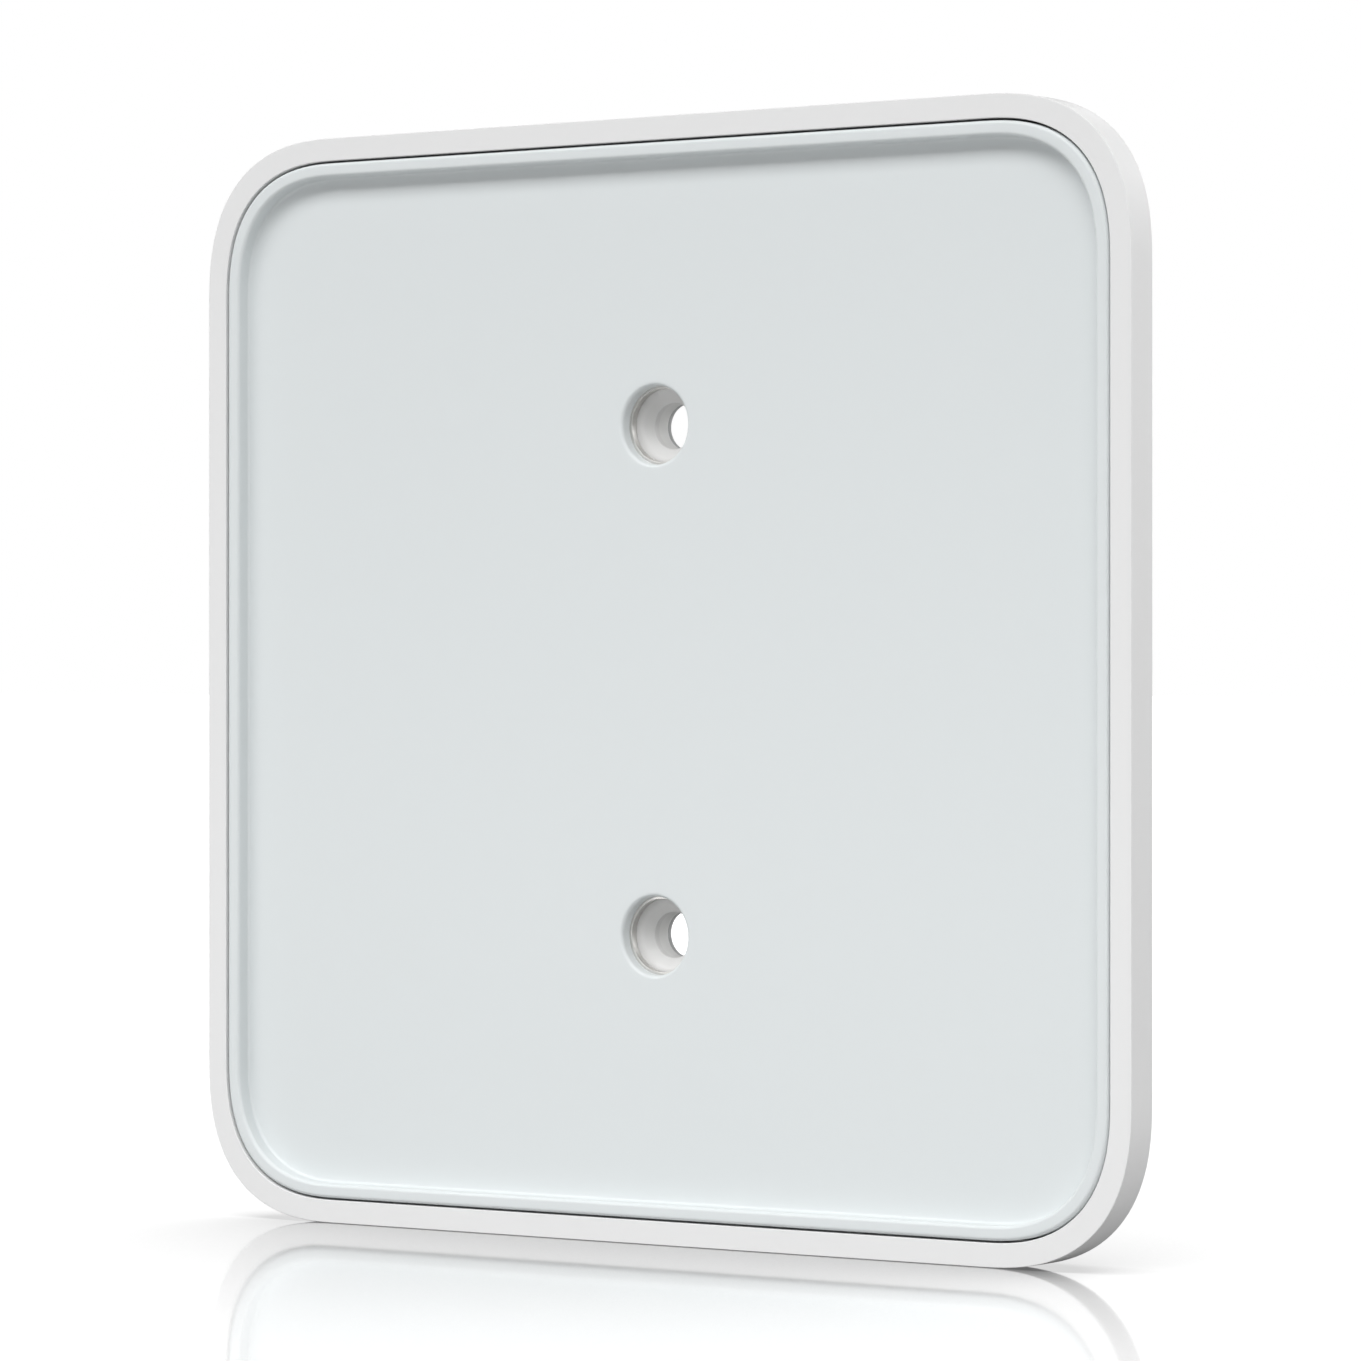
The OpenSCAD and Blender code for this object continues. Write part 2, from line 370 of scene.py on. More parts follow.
def makePlastic(name, values):
    material, tree, shader, place = startMaterial(name, values["roughness"], specular=values["specular"])
    grain = addNode(tree, "ShaderNodeGroup", node_tree=mouldGrain)
    grain.inputs["Grain size"].default_value = values["grain"]
    grain.inputs["Pits"].default_value = values["pits"]
    tree.links.new(place, grain.inputs["Vector"])
    marks = addNode(tree, "ShaderNodeGroup", node_tree=handlingMarks)
    marks.inputs["Amount"].default_value = values["marks"]
    tree.links.new(place, marks.inputs["Vector"])
    edge = addNode(tree, "ShaderNodeAttribute", attribute_name="edge")
    tree.links.new(edge.outputs["Fac"], marks.inputs["Edge"])
    cloud = noise(tree, place, values["cloudScale"], 3.0, 0.5)  # faint unevenness of the resin
    colour = blendColours(tree, cloud, values["colour"], values["colourSecond"])
    # edges painted lighter: wear, and a painted highlight along every rounded edge
    colour = blendColours(tree, marks.outputs["Worn edge and highlight"], colour, values["edgeWearAndHighlightColour"])
    colour = blendColours(tree, marks.outputs["Dust"], colour, dustColour)
    tree.links.new(colour, shader.inputs["Base Color"])
    change = mathNode(tree, "MULTIPLY", grain.outputs["Gloss change"], glossSpread["grain"])
    dusty = mathNode(tree, "MULTIPLY", marks.outputs["Dust"], glossSpread["dust"])
    rough = mathNode(tree, "ADD", mathNode(tree, "ADD", change, dusty), values["roughness"], True)
    tree.links.new(rough, shader.inputs["Roughness"])
    bumpFrom(tree, shader, grain.outputs["Height"], values["bump"], values["bumpDepth"])
    return material


trimFinish = {
    "colour": (0.775, 0.777, 0.778), "colourSecond": (0.790, 0.790, 0.790), "edgeWearAndHighlightColour": (0.86, 0.86, 0.86),
    "roughness": 0.42, "specular": 0.4, "grain": 0.22, "pits": 0.2, "marks": 0.12,
    "cloudScale": 30.0, "bump": 0.1, "bumpDepth": 0.01,
}
trayFinish = {
    "colour": (0.700, 0.735, 0.742), "colourSecond": (0.712, 0.745, 0.752),
    "edgeWearAndHighlightColour": (0.745, 0.775, 0.782),
    "roughness": 0.46, "specular": 0.4, "grain": 0.26, "pits": 0.3, "marks": 0.12,
    "cloudScale": 22.0, "bump": 0.1, "bumpDepth": 0.01,
}
# the base's white is painted darker than the trim's: painted shade in the countersinks seen deep in the holes
baseShadedFinish = {
    "colour": (0.66, 0.658, 0.652), "colourSecond": (0.68, 0.678, 0.674), "edgeWearAndHighlightColour": (0.73, 0.73, 0.72),
    "roughness": 0.5, "specular": 0.4, "grain": 0.3, "pits": 0.3, "marks": 0.2,
    "cloudScale": 35.0, "bump": 0.15, "bumpDepth": 0.015,
}
coverFinish = {
    "colour": (0.70, 0.70, 0.69), "colourSecond": (0.73, 0.73, 0.72), "edgeWearAndHighlightColour": (0.80, 0.80, 0.79),
    "roughness": 0.55, "specular": 0.4, "grain": 0.45, "pits": 0.6, "marks": 0.35,
    "cloudScale": 28.0, "bump": 0.35, "bumpDepth": 0.03,
}
# rubber gasket coloured near black, so it also paints shade at the bottom of the seam gap
rubberSeamShadeFinish = {
    "colour": (0.024, 0.0245, 0.025), "colourSecond": (0.040, 0.040, 0.040), "roughness": 0.75,
    "grain": 0.12, "cloudScale": 180.0, "bump": 0.3, "bumpDepth": 0.02,
}
keeperFinish = {
    "colour": (0.60, 0.59, 0.565), "colourSecond": (0.72, 0.715, 0.70), "roughness": 0.34,
    "spangle": 320.0, "streakScale": 60.0, "streakStretch": 40.0, "bump": 0.15, "bumpDepth": 0.01,
}
padFinish = {
    "colour": (0.42, 0.425, 0.43), "colourSecond": (0.52, 0.525, 0.53), "roughness": 0.9,
    "cell": 0.55, "cloudScale": 70.0, "bump": 0.8, "bumpDepth": 0.12, "fill": 1.0,
}
screwFinish = {
    "colour": (0.56, 0.57, 0.58), "colourSecond": (0.68, 0.68, 0.68), "roughness": 0.28,
    "scratchScale": 1500.0, "cloudScale": 240.0, "bump": 0.2, "bumpDepth": 0.01,
}


def makeRubberSeamShade():
    f = rubberSeamShadeFinish
    material, tree, shader, place = startMaterial("gasketRubberSeamShade", f["roughness"], specular=0.3)
    grain = addNode(tree, "ShaderNodeGroup", node_tree=mouldGrain)
    grain.inputs["Grain size"].default_value = f["grain"]
    tree.links.new(place, grain.inputs["Vector"])
    cloud = noise(tree, place, f["cloudScale"], 3.0, 0.6)
    colour = blendColours(tree, cloud, f["colour"], f["colourSecond"])
    tree.links.new(colour, shader.inputs["Base Color"])
    change = mathNode(tree, "MULTIPLY", grain.outputs["Gloss change"], 0.2)
    rough = mathNode(tree, "ADD", change, f["roughness"], True)
    tree.links.new(rough, shader.inputs["Roughness"])
    bumpFrom(tree, shader, grain.outputs["Height"], f["bump"], f["bumpDepth"])
    return material


def makeKeeperSteel():
    # zinc-plated sheet: crystal spangle under fine rolling streaks along X
    f = keeperFinish
    material, tree, shader, place = startMaterial("keeperZinc", f["roughness"], metallic=1.0)
    spangle = addNode(tree, "ShaderNodeTexVoronoi", in2=f["spangle"])
    tree.links.new(place, spangle.inputs["Vector"])
    stretch = addNode(tree, "ShaderNodeMapping")
    stretch.inputs["Scale"].default_value = (1.0, f["streakStretch"], f["streakStretch"])
    tree.links.new(place, stretch.inputs["Vector"])
    streaks = noise(tree, stretch.outputs[0], f["streakScale"], 4.0, 0.6)
    grey = addNode(tree, "ShaderNodeSeparateColor")
    tree.links.new(spangle.outputs["Color"], grey.inputs[0])
    crystals = mathNode(tree, "MULTIPLY", grey.outputs[0], 0.5)
    tone = mathNode(tree, "ADD", crystals, mathNode(tree, "MULTIPLY", streaks, 0.5))
    colour = blendColours(tree, tone, f["colour"], f["colourSecond"])
    tree.links.new(colour, shader.inputs["Base Color"])
    rough = mathNode(tree, "ADD", mathNode(tree, "MULTIPLY", tone, 0.2), f["roughness"] - 0.1, True)
    tree.links.new(rough, shader.inputs["Roughness"])
    bumpFrom(tree, shader, streaks, f["bump"], f["bumpDepth"])
    return material


def makePadFoam():
    # closed-cell foam with a cut skin: small cells over larger ones
    f = padFinish
    material, tree, shader, place = startMaterial("padFoam", f["roughness"], specular=0.2)
    cells = addNode(tree, "ShaderNodeTexVoronoi", feature="F1", in2=1000.0 / f["cell"])
    wide = addNode(tree, "ShaderNodeTexVoronoi", feature="F1", in2=400.0 / f["cell"])
    for node in (cells, wide):
        tree.links.new(place, node.inputs["Vector"])
    larger = mathNode(tree, "MULTIPLY", wide.outputs["Distance"], 0.6)
    height = mathNode(tree, "ADD", cells.outputs["Distance"], larger)
    cloud = noise(tree, place, f["cloudScale"], 3.0, 0.6)
    tone = mathNode(tree, "MULTIPLY", mathNode(tree, "ADD", height, cloud), 0.6, True)
    colour = blendColours(tree, tone, f["colour"], f["colourSecond"])
    tree.links.new(colour, shader.inputs["Base Color"])
    bumpFrom(tree, shader, height, f["bump"], f["bumpDepth"])
    return material


def makeScrewSteel():
    # bright plated steel with fine scuffs and a cloudy tone
    f = screwFinish
    material, tree, shader, place = startMaterial("screwSteel", f["roughness"], metallic=1.0)
    scratches = noise(tree, place, f["scratchScale"], 4.0, 0.7)
    cloud = noise(tree, place, f["cloudScale"], 2.0, 0.5)
    tone = mathNode(tree, "MULTIPLY", mathNode(tree, "ADD", scratches, cloud), 0.5)
    colour = blendColours(tree, tone, f["colour"], f["colourSecond"])
    tree.links.new(colour, shader.inputs["Base Color"])
    rough = mathNode(tree, "ADD", mathNode(tree, "MULTIPLY", tone, 0.22), f["roughness"] - 0.1, True)
    tree.links.new(rough, shader.inputs["Roughness"])
    bumpFrom(tree, shader, scratches, f["bump"], f["bumpDepth"])
    return material


trimWhite = makePlastic("trimWhite", trimFinish)
trayGrey = makePlastic("trayGrey", trayFinish)
baseWhiteShaded = makePlastic("baseWhiteShaded", baseShadedFinish)
coverWhite = makePlastic("coverWhite", coverFinish)
gasketRubberSeamShade = makeRubberSeamShade()
keeperZinc = makeKeeperSteel()
padFoam = makePadFoam()
screwSteel = makeScrewSteel()
print("materials made")


trim = {
    "out": 66.0, "in": 63.25, "shelfIn": 60.4, "low": 4.8, "shelf": 6.2, "face": 9.5,
    "edge": 0.1, "backEdge": 0.15, "seamRound": 0.08,
}


def makeTrimFrame():
    body = startBody()
    e, b = trim["edge"], trim["backEdge"]
    sweep(body, [
        (trim["out"], trim["low"], b), (trim["out"], trim["face"], e), (trim["in"], trim["face"], e),
        (trim["in"], trim["shelf"], trim["seamRound"]), (trim["shelfIn"], trim["shelf"], e),
        (trim["shelfIn"], trim["low"], b),
    ], closed=True)
    return finishPiece(body, "trimFrame", trimWhite)


gasket = {"out": 63.15, "in": 60.6, "low": 6.2, "high": 6.6, "round": 0.12}


# a rubber ring deep in the seam; its near-black colour is painted shade in the gap
def makeGasket():
    body = startBody()
    r = gasket["round"]
    sweep(body, [
        (gasket["out"], gasket["low"], r), (gasket["out"], gasket["high"], r),
        (gasket["in"], gasket["high"], r), (gasket["in"], gasket["low"], r),
    ], closed=True)
    return finishPiece(body, "seamGasket", gasketRubberSeamShade)


tray = {
    "lipOut": 63.0, "lipIn": 61.3, "core": 60.2, "back": 6.0, "lipLow": 6.6, "floor": 7.5, "face": 9.5,
    "lipRound": 0.45, "lipInnerRound": 0.45, "floorRound": 0.35,
    "hole": 4.65, "holeRound": 0.45, "boss": 2.6, "bossEnd": 3.45, "pilot": 1.25, "pilotEnd": 6.85,
    "inset": 0.4, "mouth": 0.3,  # flat left before a rounding starts, at the rim and at the holes
}


def makeTray():
    body = startBody()
    t = tray
    rim = [
        (t["core"], t["back"], 0), (t["core"], t["lipLow"], 0), (t["lipOut"], t["lipLow"], 0.1),
        (t["lipOut"], t["face"], t["lipRound"]), (t["lipIn"], t["face"], t["lipInnerRound"]),
        (t["lipIn"], t["floor"], t["floorRound"]), (t["lipIn"] - t["floorRound"] - t["inset"], t["floor"], 0),
    ]
    sweep(body, rim)
    mouth = t["hole"] + t["holeRound"] + t["mouth"]
    flatFace(body, t["floor"], [outlineAt(rim[-1][0])] + [circleAt(p, mouth) for p in wallHoles])
    flatFace(body, t["back"], [outlineAt(t["core"])] + [circleAt(p, t["hole"]) for p in wallHoles]
             + [circleAt(p, t["boss"], screwSteps) for p in screwPlaces])
    for p in wallHoles:
        bore(body, p, [
            (mouth, t["floor"], 0), (t["hole"], t["floor"], t["holeRound"]), (t["hole"], t["back"], 0),
        ])
    for p in screwPlaces:
        bore(body, p, [
            (t["boss"], t["back"], 0), (t["boss"], t["bossEnd"], 0.2), (t["pilot"], t["bossEnd"], 0.15),
            (t["pilot"], t["pilotEnd"], 0),
        ], screwSteps)
        flatFace(body, t["pilotEnd"], [circleAt(p, t["pilot"], screwSteps)])
    return finishPiece(body, "frontTray", trayGrey)


keeper = {"half": 57.0, "low": 5.0, "high": 6.0, "hole": 4.3, "bossHole": 2.8, "edge": 0.07, "inset": 0.4}


def makeKeeper():
    body = startBody()
    k = keeper
    inset = k["inset"]
    sweep(body, [(k["half"] - inset, k["low"], 0), (k["half"], k["low"], k["edge"]),
                 (k["half"], k["high"], k["edge"]), (k["half"] - inset, k["high"], 0)])
    holes = [(p, k["hole"], None) for p in wallHoles] + [(p, k["bossHole"], screwSteps) for p in screwPlaces]
    for height in (k["low"], k["high"]):
        rings = [circleAt(p, r + inset, n) for p, r, n in holes]
        flatFace(body, height, [outlineAt(k["half"] - inset)] + rings)
    for p, r, n in holes:
        bore(body, p, [(r + inset, k["high"], 0), (r, k["high"], k["edge"]),
                       (r, k["low"], k["edge"]), (r + inset, k["low"], 0)], n)
    return finishPiece(body, "keeperSheet", keeperZinc)


baseValues = {"mergeAt": 2e-6}  # metres


def makeBase():
    # the CAD base with its loose triangles joined into flat faces
    body = bmesh.new()
    body.from_mesh(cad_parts["base_plate"].data)
    bmesh.ops.remove_doubles(body, verts=body.verts, dist=baseValues["mergeAt"])
    bmesh.ops.dissolve_limit(body, angle_limit=math.radians(1), verts=body.verts, edges=body.edges)
    body.verts.layers.float.new("edge")
    return finishPiece(body, "basePlate", baseWhiteShaded)


cover = {
    "half": 61.6, "low": 0.7, "high": 2.6, "ribOut": 59.0, "ribIn": 57.5, "ribHigh": 3.3, "edge": 0.35,
    "hole": 2.75, "seat": 2.3, "seatRim": 0.25, "free": 1.4, "inset": 0.8, "mouth": 0.3,
    "stepRound": 0.15, "holeRound": 0.12, "seatRound": 0.08,
}


def makeCover():
    body = startBody()
    c = cover
    start, soft, mouth = c["half"] - c["inset"], c["stepRound"], c["mouth"]
    sweep(body, [
        (start, c["low"], 0), (c["half"], c["low"], c["edge"]), (c["half"], c["high"], soft),
        (c["ribOut"], c["high"], 0), (c["ribOut"], c["ribHigh"], soft),
        (c["ribIn"], c["ribHigh"], soft), (c["ribIn"], c["high"], 0),
    ])
    flatFace(body, c["low"], [outlineAt(start)] + [circleAt(p, c["hole"] + mouth) for p in wallHoles]
             + [circleAt(p, c["seat"] + mouth, screwSteps) for p in screwPlaces])
    flatFace(body, c["high"], [outlineAt(c["ribIn"])] + [circleAt(p, c["hole"]) for p in wallHoles]
             + [circleAt(p, c["free"], screwSteps) for p in screwPlaces])
    for p in wallHoles:
        bore(body, p, [(c["hole"] + mouth, c["low"], 0), (c["hole"], c["low"], c["holeRound"]),
                       (c["hole"], c["high"], 0)])
    rim = c["low"] + c["seatRim"]
    for p in screwPlaces:
        bore(body, p, [
            (c["seat"] + mouth, c["low"], 0), (c["seat"], c["low"], c["seatRound"]), (c["seat"], rim, 0),
            (c["free"], rim + c["seat"] - c["free"], 0), (c["free"], c["high"], 0),
        ], screwSteps)
    return finishPiece(body, "rearCover", coverWhite)


pad = {"half": 59.4, "low": 0.0, "high": 0.7, "hole": 2.75, "screwHole": 3.1, "edge": 0.18, "inset": 0.5}


def makePad():
    body = startBody()
    p = pad
    inset = p["inset"]
    sweep(body, [(p["half"] - inset, p["low"], 0), (p["half"], p["low"], p["edge"]),
                 (p["half"], p["high"], p["edge"]), (p["half"] - inset, p["high"], 0)])
    holes = [(q, p["hole"], None) for q in wallHoles] + [(q, p["screwHole"], screwSteps) for q in screwPlaces]
    for height in (p["low"], p["high"]):
        rings = [circleAt(q, r + inset, n) for q, r, n in holes]
        flatFace(body, height, [outlineAt(p["half"] - inset)] + rings)
    for q, r, n in holes:
        bore(body, q, [(r + inset, p["high"], 0), (r, p["high"], p["edge"]),
                       (r, p["low"], p["edge"]), (r + inset, p["low"], 0)], n)
    return finishPiece(body, "wallPad", padFoam)


screw = {
    "head": 2.3, "headRim": 0.25, "radius": 1.25, "root": 0.95, "pitch": 0.9, "low": 0.7, "tip": 6.8,
    "slotWidth": 0.62, "slotLength": 2.6, "slotDepth": 0.8, "around": 28, "rowsPerTurn": 8,
    "centre": 0.5, "headRound": 0.12, "rimRound": 0.05, "neckOut": 0.1, "neckLong": 0.15, "threadGap": 0.35,
    "fadeIn": 0.4, "fadeOut": 0.5, "taper": 0.6, "rootTaper": 0.45, "sharpAngle": 30,
    "outerRow": 50.0, "innerRow": 25.0, "count": 8, "seed": 7,
}


def threadRadius(phase):
    # share of the thread's height: a narrow flat crest with sloping flanks
    d = abs((phase % 1.0) - 0.5) * 2
    return min(max((1 - d) / 0.5 - 0.75, 0.0) * 1.6, 1.0)


def makeOneScrew():
    s = screw
    body = startBody()
    around, r = s["around"], s["radius"]
    neck = s["low"] + s["headRim"] + s["head"] - r
    threadStart, taperStart = neck + s["threadGap"], s["tip"] - r
    head = softProfile([
        (s["centre"], s["low"], 0), (s["head"], s["low"], s["headRound"]),
        (s["head"], s["low"] + s["headRim"], s["rimRound"]),
        (s["root"] + s["neckOut"], neck + s["neckLong"], 0),
    ])
    loops = [addLoop(body, circleAt((0, 0), w, around), h, edge) for w, h, edge in head]
    step = s["pitch"] / s["rowsPerTurn"]
    rows = int((s["tip"] - threadStart) / step) + s["rowsPerTurn"] + 2
    layer = body.verts.layers.float["edge"]
    for k in range(rows):
        loop = []
        for i in range(around):
            turn = i / around
            h = threadStart + (k - s["rowsPerTurn"]) * step + turn * s["pitch"]
            h = min(max(h, threadStart), s["tip"])
            fade = min((h - threadStart) / s["fadeIn"], 1.0) * min((s["tip"] - h) / s["fadeOut"], 1.0)
            outer = r if h < taperStart else r - (h - taperStart) * s["taper"]
            root = s["root"] if h < taperStart else s["root"] - (h - taperStart) * s["rootTaper"]
            crest = threadRadius(k / s["rowsPerTurn"]) * fade
            w = root + (outer - root) * crest
            a = 2 * math.pi * turn
            v = body.verts.new((w * math.cos(a) * mm, -h * mm, w * math.sin(a) * mm))
            v[layer] = crest
            loop.append(v)
        loops.append(loop)
    addWalls(body, loops)
    flatFace(body, s["low"], [circleAt((0, 0), s["centre"], around)])
    body.faces.new(loops[-1])
    bmesh.ops.remove_doubles(body, verts=body.verts, dist=2e-6)
    bmesh.ops.dissolve_degenerate(body, dist=1e-7, edges=body.edges)
    bmesh.ops.recalc_face_normals(body, faces=body.faces)
    mesh = bpy.data.meshes.new("screwBlank")
    body.to_mesh(mesh)
    body.free()
    blank = bpy.data.objects.new("screwBlank", mesh)
    bpy.context.scene.collection.objects.link(blank)
    # the cross recess, narrower towards its bottom
    cutter = bmesh.new()
    for turn in (0, 1):
        corners = []
        for depth, share in ((-0.3, 1.1), (s["slotDepth"], 0.62)):
            for a, b in ((-1, -1), (1, -1), (1, 1), (-1, 1)):
                x, z = a * s["slotLength"] / 2 * share, b * s["slotWidth"] / 2 * (share + 0.1)
                x, z = (z, x) if turn else (x, z)
                corners.append(cutter.verts.new((x * mm, -(s["low"] + depth) * mm, z * mm)))
        for i in range(4):
            j = (i + 1) % 4
            cutter.faces.new((corners[i], corners[j], corners[4 + j], corners[4 + i]))
        cutter.faces.new(corners[:4])
        cutter.faces.new(corners[4:])
    bmesh.ops.recalc_face_normals(cutter, faces=cutter.faces)
    cutterMesh = bpy.data.meshes.new("recessCutter")
    cutter.to_mesh(cutterMesh)
    cutter.free()
    cutterObject = bpy.data.objects.new("recessCutter", cutterMesh)
    bpy.context.scene.collection.objects.link(cutterObject)
    cut = blank.modifiers.new("recess", "BOOLEAN")
    cut.operation = "DIFFERENCE"
    cut.solver = "EXACT"
    cut.use_self = True
    cut.object = cutterObject
    one = plainCopy(blank, "screwPattern")
    for spent in (blank, cutterObject):
        bpy.data.objects.remove(spent)
    one.data.shade_smooth()
    one.data.set_sharp_from_angle(angle=math.radians(s["sharpAngle"]))
    return one


def makeScrewTree():
    # eight places, two along each side of a square, with each screw stopped at its own turn
    tree = bpy.data.node_groups.new("screwPlaces", "GeometryNodeTree")
    face = tree.interface
    face.new_socket("Geometry", in_out="OUTPUT", socket_type="NodeSocketGeometry")
    for label, kind in (
        ("Screw", "NodeSocketObject"), ("Outer row", "NodeSocketFloat"), ("Inner row", "NodeSocketFloat"),
        ("Count", "NodeSocketInt"), ("Seed", "NodeSocketInt"), ("Finish", "NodeSocketMaterial"),
    ):
        face.new_socket(label, in_out="INPUT", socket_type=kind)
    start, end = tree.nodes.new("NodeGroupInput"), tree.nodes.new("NodeGroupOutput")
    link = tree.links.new
    points = tree.nodes.new("GeometryNodePoints")
    link(start.outputs["Count"], points.inputs["Count"])
    index = tree.nodes.new("GeometryNodeInputIndex").outputs[0]
    quarter = mathNode(tree, "FLOOR", mathNode(tree, "DIVIDE", index, 2.0), 0.0)
    odd = mathNode(tree, "MODULO", index, 2.0)
    pair = []
    for x, z in (("Outer row", "Inner row"), ("Inner row", "Outer row")):
        both = tree.nodes.new("ShaderNodeCombineXYZ")
        link(start.outputs[x], both.inputs["X"])
        link(start.outputs[z], both.inputs["Z"])
        pair.append(both.outputs[0])
    pick = tree.nodes.new("ShaderNodeMix")
    pick.data_type = "VECTOR"
    link(odd, pick.inputs[0])
    link(pair[0], pick.inputs[4])
    link(pair[1], pick.inputs[5])
    spin = tree.nodes.new("ShaderNodeVectorRotate")
    spin.rotation_type = "Y_AXIS"
    link(pick.outputs[1], spin.inputs["Vector"])
    link(mathNode(tree, "MULTIPLY", quarter, math.pi / 2), spin.inputs["Angle"])
    place = tree.nodes.new("GeometryNodeSetPosition")
    link(points.outputs[0], place.inputs["Geometry"])
    link(spin.outputs[0], place.inputs["Position"])
    info = tree.nodes.new("GeometryNodeObjectInfo")
    link(start.outputs["Screw"], info.inputs["Object"])
    turn = tree.nodes.new("FunctionNodeRandomValue")
    turn.data_type = "FLOAT"
    turn.inputs[2].default_value, turn.inputs[3].default_value = 0.0, 2 * math.pi
    link(start.outputs["Seed"], turn.inputs["Seed"])
    axis = tree.nodes.new("ShaderNodeCombineXYZ")
    link(turn.outputs[1], axis.inputs["Y"])
    copies = tree.nodes.new("GeometryNodeInstanceOnPoints")
    link(place.outputs[0], copies.inputs["Points"])
    link(info.outputs["Geometry"], copies.inputs["Instance"])
    link(axis.outputs[0], copies.inputs["Rotation"])
    real = tree.nodes.new("GeometryNodeRealizeInstances")
    link(copies.outputs[0], real.inputs[0])
    finish = tree.nodes.new("GeometryNodeSetMaterial")
    link(real.outputs[0], finish.inputs["Geometry"])
    link(start.outputs["Finish"], finish.inputs["Material"])
    link(finish.outputs[0], end.inputs[0])
    return tree


def runTree(tree, values, name):
    holder = bpy.data.objects.new(name + "Holder", bpy.data.meshes.new(name + "Holder"))
    bpy.context.scene.collection.objects.link(holder)
    modifier = holder.modifiers.new("places", "NODES")
    modifier.node_group = tree
    for item in tree.interface.items_tree:
        if item.item_type == "SOCKET" and item.in_out == "INPUT":
            modifier[item.identifier] = values[item.name]
    bpy.context.view_layer.update()
    piece = plainCopy(holder, name)
    bpy.data.objects.remove(holder)
    return piece


def makeScrews():
    one = makeOneScrew()
    piece = runTree(makeScrewTree(), {
        "Screw": one, "Outer row": screw["outerRow"] * mm, "Inner row": screw["innerRow"] * mm,
        "Count": screw["count"], "Seed": screw["seed"], "Finish": screwSteel,
    }, "assemblyScrews")
    bpy.data.objects.remove(one)
    print("assemblyScrews built:", len(piece.data.polygons), "faces")
    return piece


for make, node, slot in (
    (makeTrimFrame, "trim_frame", "trim_white"),
    (makeGasket, "seam_gasket", "gasket_rubber"),
    (makeTray, "front_tray", "tray_grey"),
    (makeKeeper, "keeper_plate", "keeper_steel"),
    (makeBase, "base_plate", "base_white"),
    (makeCover, "rear_cover", "cover_white"),
    (makePad, "wall_pad", "pad_foam"),
    (makeScrews, "assembly_screws", "screw_steel"),
):
    piece = make()
    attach(piece, "root")
    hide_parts(node)
print("pieces in place")


studio = {
    "floorSize": 40.0, "floorGap": 0.00003, "shadeReach": 0.3,  # metres
    "shadeFrom": 0.42, "shadeTo": 0.92,  # share of open view upward where it is darkest, and white
    "shadeDark": 0.28, "floorWhite": 1.35,  # how bright the floor shows at those two
    "floorGloss": 1.4, "floorRoughness": 0.06,
    "glossFrom": 0.16, "glossTo": 0.5,  # metres from the middle over which the reflection fades out
    "floorBounce": (0.35, 0.35, 0.35),
}


def makeFloor():
    body = bmesh.new()
    s = studio["floorSize"] / 2
    z = cadLow.z - studio["floorGap"]
    body.faces.new([body.verts.new((x, y, z)) for x, y in ((-s, -s), (s, -s), (s, s), (-s, s))])
    mesh = bpy.data.meshes.new("studioFloor")
    body.to_mesh(mesh)
    body.free()
    floor = bpy.data.objects.new("studioFloor", mesh)
    bpy.context.scene.collection.objects.link(floor)
    material = bpy.data.materials.new("paleFloor")
    material.use_nodes = True
    tree = material.node_tree
    tree.nodes.remove(tree.nodes["Principled BSDF"])
    # the camera sees a floor that glows white, with a painted shadow where the plate stands over it, under a
    # glossy coat
    shade = addNode(tree, "ShaderNodeAmbientOcclusion", samples=16)
    shade.inputs["Distance"].default_value = studio["shadeReach"]
    glowWithPaintedShadow = addNode(tree, "ShaderNodeMapRange", in1=studio["shadeFrom"], in2=studio["shadeTo"],
                   in3=studio["shadeDark"], in4=studio["floorWhite"])
    tree.links.new(shade.outputs["AO"], glowWithPaintedShadow.inputs[0])
    white = addNode(tree, "ShaderNodeEmission", in0=(1, 1, 1, 1))
    tree.links.new(glowWithPaintedShadow.outputs[0], white.inputs["Strength"])
    gloss = addNode(tree, "ShaderNodeBsdfAnisotropic", in0=(1, 1, 1, 1))
    gloss.inputs["Roughness"].default_value = studio["floorRoughness"]
    fresnel = addNode(tree, "ShaderNodeFresnel", in0=studio["floorGloss"])
    away = addNode(tree, "ShaderNodeVectorMath", operation="LENGTH")
    tree.links.new(addNode(tree, "ShaderNodeTexCoord").outputs["Object"], away.inputs[0])
    near = addNode(tree, "ShaderNodeMapRange", in1=studio["glossFrom"], in2=studio["glossTo"],
                   in3=1.0, in4=0.0)
    tree.links.new(away.outputs["Value"], near.inputs[0])
    coat = mathNode(tree, "MULTIPLY", fresnel.outputs[0], near.outputs[0])
    seen = addNode(tree, "ShaderNodeMixShader")
    tree.links.new(coat, seen.inputs[0])
    tree.links.new(white.outputs[0], seen.inputs[1])
    tree.links.new(gloss.outputs[0], seen.inputs[2])
    # what the floor sends back to the plate is weaker than what it shows
    bounce = addNode(tree, "ShaderNodeBsdfDiffuse", in0=(*studio["floorBounce"], 1.0))
    path = addNode(tree, "ShaderNodeLightPath")
    both = addNode(tree, "ShaderNodeMixShader")
    tree.links.new(path.outputs["Is Camera Ray"], both.inputs[0])
    tree.links.new(bounce.outputs[0], both.inputs[1])
    tree.links.new(seen.outputs[0], both.inputs[2])
    tree.links.new(both.outputs[0], tree.nodes["Material Output"].inputs["Surface"])
    mesh.materials.append(material)


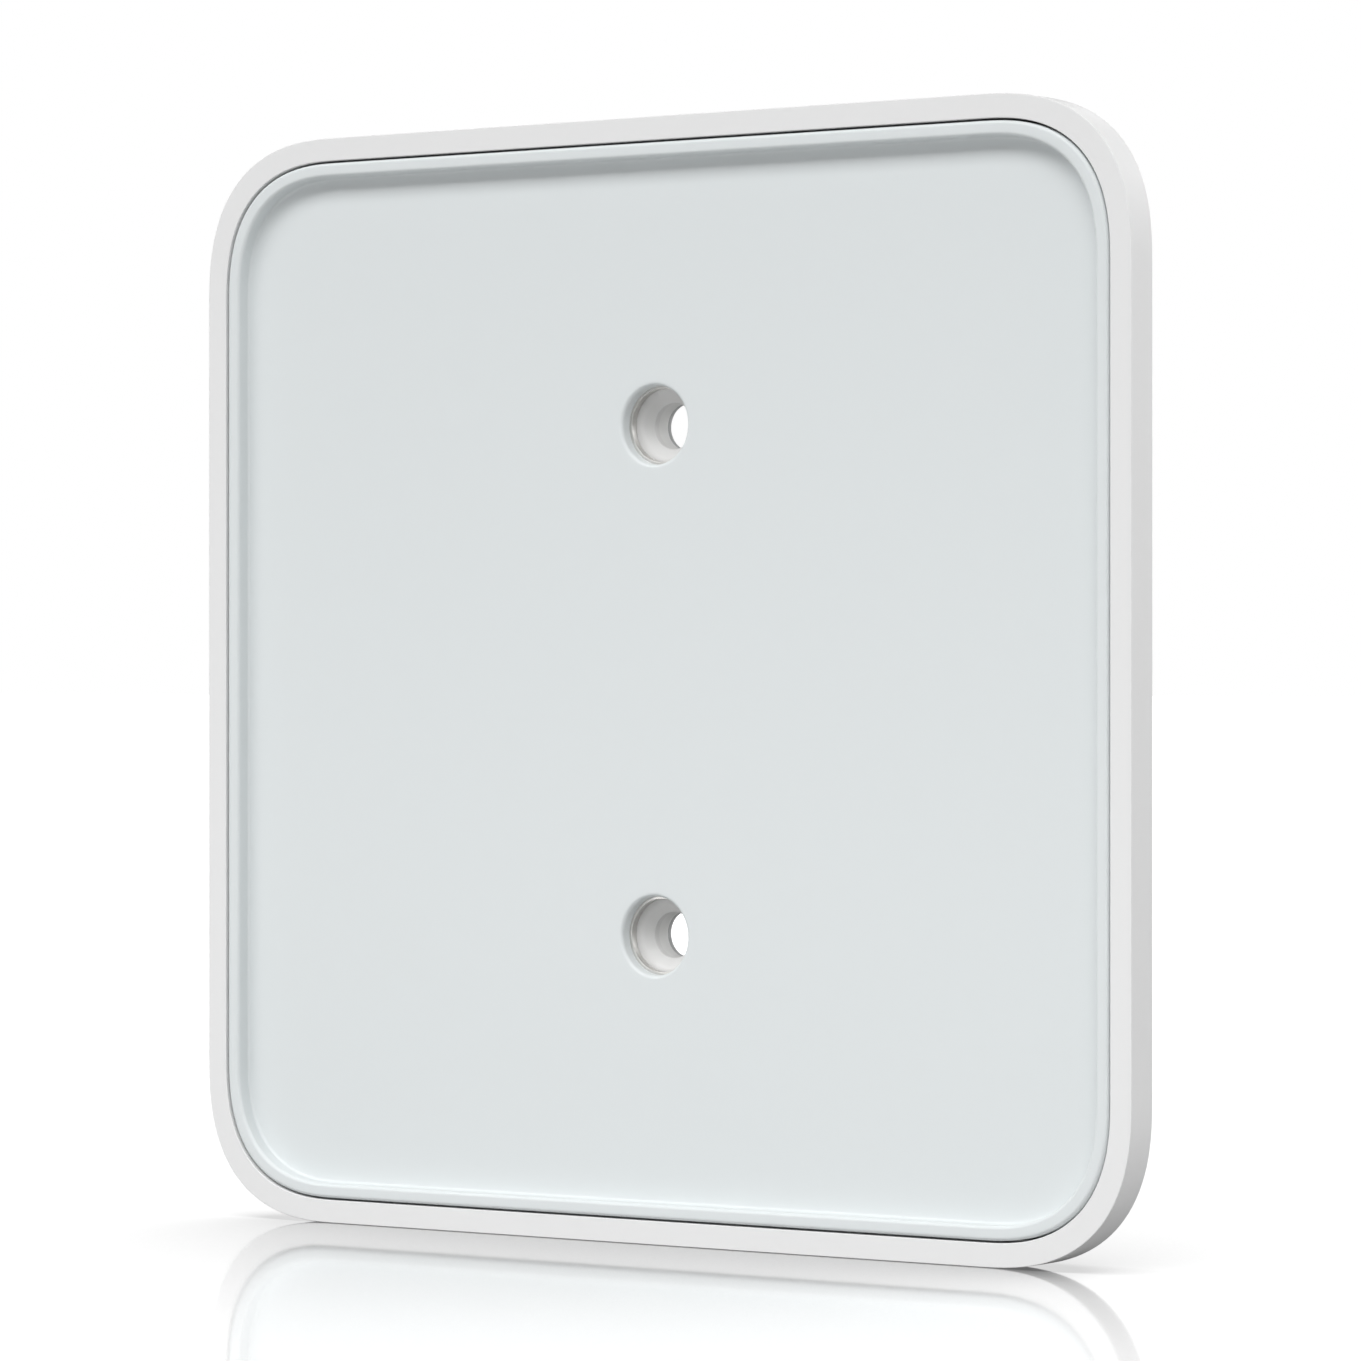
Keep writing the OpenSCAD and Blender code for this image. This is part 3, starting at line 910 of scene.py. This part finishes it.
lightValues = {
    "sky": 0.21,
    # a band that only reflections see: full up to horizonTop and gone at skyFrom (sines of the elevation)
    "horizon": 1.0, "horizonTop": 0.16, "skyFrom": 0.34,
    "lamps": {
        # turn from the front and height over the middle (degrees), distance, width and depth (metres), watts
        "keyPanel": (0, 50, 5.0, 10.0, 2.0, 328.0),
        "backPanel": (180, 14, 3.0, 2.4, 1.6, 30.0),
        "lowPanel": (0, -16, 0.2, 0.5, 0.014, 0.12),
        "rightPanel": (90, 14, 1.3, 1.0, 0.4, 2.0),
        "rearPanel": (125, 28, 1.3, 1.0, 0.8, 4.5),
    },
}


def makeSky():
    # the camera sees pure white; the plate gets dim light from above the floor line,
    # and reflections see the bright band as well
    world = bpy.data.worlds.new("softStudio")
    bpy.context.scene.world = world
    world.use_nodes = True
    tree = world.node_tree
    sky = tree.nodes["Background"]
    sky.inputs["Color"].default_value = (1, 1, 1, 1)
    split = addNode(tree, "ShaderNodeSeparateXYZ")
    tree.links.new(addNode(tree, "ShaderNodeTexCoord").outputs["Generated"], split.inputs[0])
    v = lightValues
    above = addNode(tree, "ShaderNodeMapRange", in1=-0.02, in2=0.02, in3=0.0, in4=v["sky"])
    tree.links.new(split.outputs["Z"], above.inputs[0])
    band = addNode(tree, "ShaderNodeMapRange", in1=v["horizonTop"], in2=v["skyFrom"],
                   in3=v["horizon"], in4=0.0)
    tree.links.new(split.outputs["Z"], band.inputs[0])
    path = addNode(tree, "ShaderNodeLightPath")
    shine = mathNode(tree, "MULTIPLY", band.outputs[0], path.outputs["Is Glossy Ray"])
    tree.links.new(mathNode(tree, "MAXIMUM", above.outputs[0], shine), sky.inputs["Strength"])
    seen = addNode(tree, "ShaderNodeBackground", in0=(1, 1, 1, 1), in1=1.0)
    blend = addNode(tree, "ShaderNodeMixShader")
    tree.links.new(path.outputs["Is Camera Ray"], blend.inputs[0])
    tree.links.new(sky.outputs[0], blend.inputs[1])
    tree.links.new(seen.outputs[0], blend.inputs[2])
    tree.links.new(blend.outputs[0], tree.nodes["World Output"].inputs["Surface"])


def makeLamps():
    for name, (turn, rise, distance, width, depth, watts) in lightValues["lamps"].items():
        data = bpy.data.lights.new(name, "AREA")
        data.shape = "RECTANGLE"
        data.size, data.size_y, data.energy = width, depth, watts
        lamp = bpy.data.objects.new(name, data)
        a, e = math.radians(turn), math.radians(rise)
        lamp.location = Vector((
            math.sin(a) * math.cos(e), -math.cos(a) * math.cos(e), math.sin(e),
        )) * distance
        lamp.rotation_euler = (-lamp.location).to_track_quat("-Z", "Y").to_euler()
        lamp.visible_camera = False
        bpy.context.scene.collection.objects.link(lamp)


makeFloor()
makeSky()
makeLamps()
bpy.context.scene.view_settings.view_transform = "Standard"
print("studio ready")
